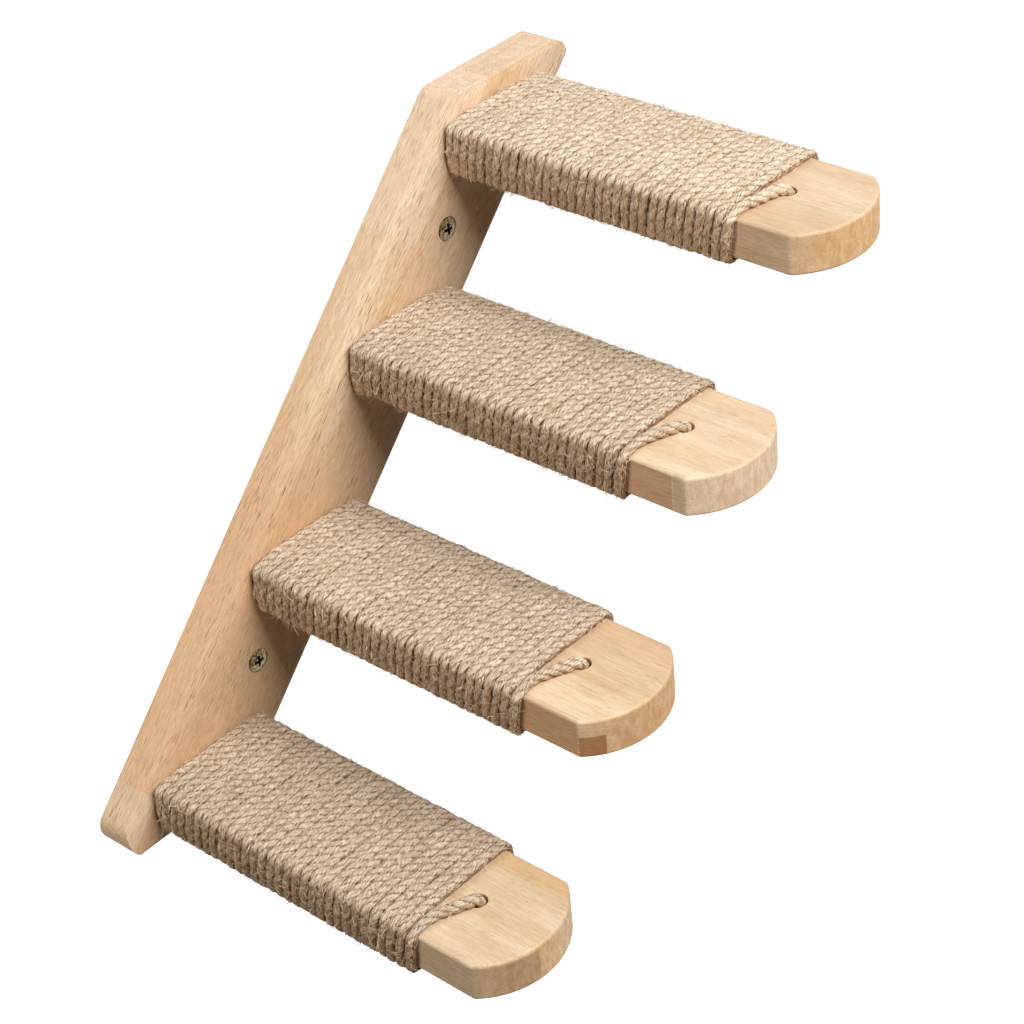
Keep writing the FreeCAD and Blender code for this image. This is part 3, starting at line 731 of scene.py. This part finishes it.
# Loose fibres that lie on the rope, that stand off it, and long ones:
# how many, and the ranges of length in mm, lift, curl and thickness in mm
HAIRS = (
    (6200, (2.5, 6.5), (0.12, 0.42), (-0.4, 0.0), (0.1, 0.19)),
    (700, (0.8, 2.2), (0.5, 1.3), (-0.5, 0.2), (0.08, 0.13)),
    (30, (4.0, 9.0), (0.25, 0.8), (-0.5, 0.3), (0.07, 0.1)),
)
# Rings left free at the start and at the tail, reach round the rope's outer side, depth of the roots
HAIR_FREE_START, HAIR_FREE_TAIL, HAIR_REACH, HAIR_ROOT = 4, 24, 1.5, 0.96
HAIR_HEADING, HAIR_BOW, HAIR_TAPER = (-0.2, 0.75), 0.3, 0.7


def fuzz(k, rng, centre, run, out, side, half_n, half_b):
    """Loose fibres on one winding, as thin tapered tubes."""
    count = sum(kind[0] for kind in HAIRS)
    i = rng.integers(HAIR_FREE_START, len(centre) - HAIR_FREE_TAIL, count)
    angle = rng.uniform(-HAIR_REACH, HAIR_REACH, count)
    length, lift, curl, thick = (
        np.concatenate([rng.uniform(*kind[column], kind[0]) for kind in HAIRS]) for column in (1, 2, 3, 4))
    ca, sa = np.cos(angle), np.sin(angle)
    face = out[i] * ca[:, None] + side[i] * sa[:, None]
    cross = side[i] * ca[:, None] - out[i] * sa[:, None]
    root = centre[i] + out[i] * (half_n[i] * ca * HAIR_ROOT)[:, None]
    root = root + side[i] * (half_b[i] * sa * HAIR_ROOT)[:, None]
    heading = rng.normal(*HAIR_HEADING, count)
    sign = rng.choice([-1.0, 1.0], count)
    way = run[i] * (sign * np.cos(heading))[:, None] + cross * (sign * np.sin(heading))[:, None]
    way = unit(way + face * lift[:, None])
    bow = face * curl[:, None] + cross * rng.normal(0.0, HAIR_BOW, count)[:, None]
    u = np.linspace(0.0, 1.0, HAIR_STEPS)
    reach = way[:, None, :] * u[None, :, None] + bow[:, None, :] * (u ** 2)[None, :, None]
    line = root[:, None, :] + length[:, None, None] * reach
    first = unit(np.cross(way, face + 0.01))
    second = np.cross(way, first)
    turn = 2.0 * math.pi * np.arange(HAIR_SIDES) / HAIR_SIDES
    ring = first[:, None, None, :] * np.cos(turn)[None, None, :, None]
    ring = ring + second[:, None, None, :] * np.sin(turn)[None, None, :, None]
    radius = thick[:, None] * (1.0 - HAIR_TAPER * u)[None, :]
    verts = (line[:, :, None, :] + ring * radius[:, :, None, None]).reshape(-1, 3)
    j = np.arange(HAIR_SIDES)
    nxt = (j + 1) % HAIR_SIDES
    step = np.arange(HAIR_STEPS - 1)[:, None] * HAIR_SIDES
    one = np.stack([step + j, step + nxt, step + HAIR_SIDES + nxt, step + HAIR_SIDES + j], -1).reshape(-1, 4)
    per = HAIR_STEPS * HAIR_SIDES
    base = (np.arange(count) * per)[:, None]
    quads = (base[:, :, None] + one[None]).reshape(-1, 4)
    roots = base + j[::-1][None]
    tips = base + (per - HAIR_SIDES) + j[None]
    faces = quads.tolist() + roots.tolist() + tips.tolist()
    piece = add_piece(f"rope_fuzz_{k}", k, verts, faces, loose_jute)
    piece.data.update()


for k in TREADS:
    winding(k)


# Camera at the photograph's viewing angle, in mm, degrees and pixels

AZIMUTH, ELEVATION, ROLL = -45.7669, 34.5786, -5.9547
DISTANCE, FOCAL_PIXELS, PICTURE = 1217.8544, 2522.2429, 1024.0
AIM_RIGHT, AIM_UP = 93.8268, -47.7281
AIM_OFFSET = Vector((-1.25, 0.0, 8.75))
SENSOR = 36.0
az, el, roll = (math.radians(v) for v in (AZIMUTH, ELEVATION, ROLL))
back = Vector((math.sin(az) * math.cos(el), -math.cos(az) * math.cos(el), math.sin(el)))
level_right = (-back).cross(Vector((0, 0, 1))).normalized()
level_up = level_right.cross(-back)
right = level_right * math.cos(roll) + level_up * math.sin(roll)
up = level_up * math.cos(roll) - level_right * math.sin(roll)
eye = (right * AIM_RIGHT + up * AIM_UP + back * DISTANCE + AIM_OFFSET) * MM
camera_data = bpy.data.cameras.new("camera")
camera_data.sensor_fit = "HORIZONTAL"
camera_data.sensor_width = SENSOR
camera_data.lens = FOCAL_PIXELS / PICTURE * SENSOR
camera_data.clip_start = 0.05
camera_data.clip_end = 100.0
camera = bpy.data.objects.new("camera", camera_data)
camera.matrix_world = Matrix((
    (right.x, up.x, back.x, eye.x),
    (right.y, up.y, back.y, eye.y),
    (right.z, up.z, back.z, eye.z),
    (0, 0, 0, 1)))
bpy.context.scene.collection.objects.link(camera)
bpy.context.scene.camera = camera


# Light and stage

# Softboxes: place and aim in m, size in m, watts, colour
WHITE, WARM_WHITE = (1, 1, 1), (1.0, 0.95, 0.89)
LAMPS = {
    "key_softbox": ((0.1, -1.35, 1.27), (0.0, -0.1, 0.0), (1.1, 0.75), 36.0, WHITE),
    "left_softbox": ((-1.36, 0.25, 0.72), (0.0, -0.1, 0.0), (0.8, 0.8), 11.0, WARM_WHITE),
    "top_softbox": ((0.0, 0.55, 1.15), (0.0, -0.1, 0.0), (0.6, 0.6), 1.2, WHITE),
    "right_softbox": ((0.75, 0.0, 0.95), (0.05, -0.1, 0.05), (0.7, 0.7), 1.5, WHITE),
    "back_softbox": ((0.0, 1.5, 0.05), (0.0, 0.0, 0.0), (0.5, 0.5), 13.0, WHITE),
}
for name, (place, aim, size, watts, colour) in LAMPS.items():
    data = bpy.data.lights.new(name, "AREA")
    data.shape = "RECTANGLE"
    data.size, data.size_y = size
    data.energy = watts
    data.color = colour
    lamp = bpy.data.objects.new(name, data)
    lamp.location = place
    lamp.rotation_euler = (Vector(place) - Vector(aim)).to_track_quat("Z", "Y").to_euler()
    bpy.context.scene.collection.objects.link(lamp)


def seen_directly(t):
    """1 where the camera, a reflection or glass sees a surface, 0 where it only lights the object."""
    path = t.add("ShaderNodeLightPath").outputs
    seen = t.math("MAXIMUM", path["Is Camera Ray"], path["Is Glossy Ray"])
    return t.math("MAXIMUM", seen, path["Is Transmission Ray"])


ROOM_COLOUR, ROOM_STRENGTH = (1.0, 0.66, 0.42, 1), 0.022
world = bpy.data.worlds.new("studio")
bpy.context.scene.world = world
w = Tree(world)
choose = w.add("ShaderNodeMixShader")
w.link(seen_directly(w), choose.inputs[0])
for socket, colour, strength in ((1, ROOM_COLOUR, ROOM_STRENGTH), (2, (1, 1, 1, 1), 1.0)):
    background = w.add("ShaderNodeBackground")
    background.inputs["Color"].default_value = colour
    background.inputs["Strength"].default_value = strength
    w.link(background.outputs[0], choose.inputs[socket])
w.link(choose.outputs[0], w.add("ShaderNodeOutputWorld").inputs["Surface"])

FLOOR_Z, FLOOR_REACH = -1.1, 9
FLOOR_BOUNCE, FLOOR_PALE = (0.2, 0.165, 0.13, 1), (0.86, 0.86, 0.86, 1)
SHADOW_PLACE = (0.35, 0.8, FLOOR_Z)
floor_mesh = bpy.data.meshes.new("studio_floor")
floor_mesh.from_pydata(
    [(x * FLOOR_REACH, y * FLOOR_REACH, FLOOR_Z) for x, y in ((-1, -1), (1, -1), (1, 1), (-1, 1))],
    [], [(0, 1, 2, 3)])
floor = bpy.data.objects.new("studio_floor", floor_mesh)
bpy.context.scene.collection.objects.link(floor)
paint = bpy.data.materials.new("pale_floor")
f = Tree(paint)
seen = seen_directly(f)
matt = f.add("ShaderNodeBsdfDiffuse")
f.link(f.mix(seen, FLOOR_BOUNCE, FLOOR_PALE), matt.inputs["Color"])
# The floor glows less round the object's shadow, so that the shadow stays and the rest is white.
reach = f.add("ShaderNodeVectorMath", operation="DISTANCE")
f.link(f.add("ShaderNodeTexCoord").outputs["Object"], reach.inputs[0])
reach.inputs[1].default_value = SHADOW_PLACE
glow = f.add("ShaderNodeEmission")
glow.inputs["Color"].default_value = (1, 1, 1, 1)
f.link(f.math("MULTIPLY", seen, f.span(reach.outputs["Value"], 0.5, 2.4, 0.8, 1.0)), glow.inputs["Strength"])
both = f.add("ShaderNodeAddShader")
f.link(matt.outputs[0], both.inputs[0])
f.link(glow.outputs[0], both.inputs[1])
f.link(both.outputs[0], f.add("ShaderNodeOutputMaterial").inputs["Surface"])
floor_mesh.materials.append(paint)

bpy.context.scene.view_settings.view_transform = "Standard"
